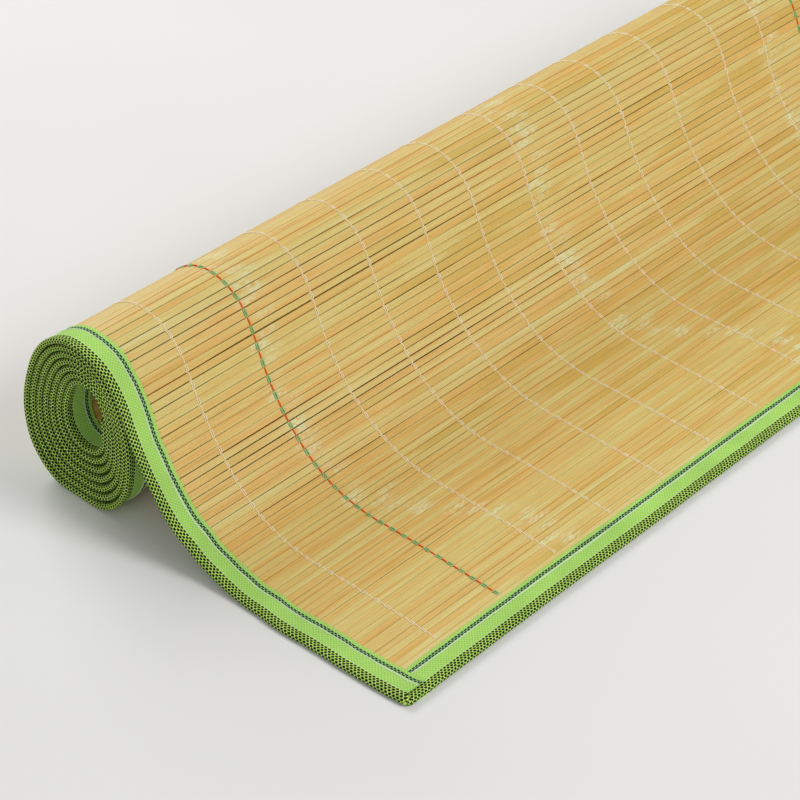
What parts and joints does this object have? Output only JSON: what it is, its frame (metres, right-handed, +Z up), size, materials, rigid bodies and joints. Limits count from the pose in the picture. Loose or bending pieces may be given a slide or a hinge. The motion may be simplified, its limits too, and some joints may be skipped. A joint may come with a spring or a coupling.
{
  "type": "bamboo mat",
  "caption": "Slatted bamboo mat with a folded cloth binding, partly unrolled: a roll at the back, a drape off its top and a flat front.",
  "frame": {"origin": "bottom centre of the bounding box, on the surface that the mat lies on", "axes": "+X along the slats, +Y from the free front edge to the roll, +Z up"},
  "size_m": [0.8082, 0.324, 0.1205],
  "materials": {
    "bamboo": "split and planed bamboo, satin, in mixed straw, gold and greenish slats",
    "binding_tape": "plain woven leaf-green tape with dark pin dots along its edges",
    "thread": "twisted cotton warp thread and sewing thread"
  },
  "bodies": {
    "root": {"slat_sheet": "bamboo", "binding_left": "binding_tape", "binding_right": "binding_tape", "binding_front": "binding_tape", "binding_inner_end": "binding_tape"}
  },
  "joints": []
}
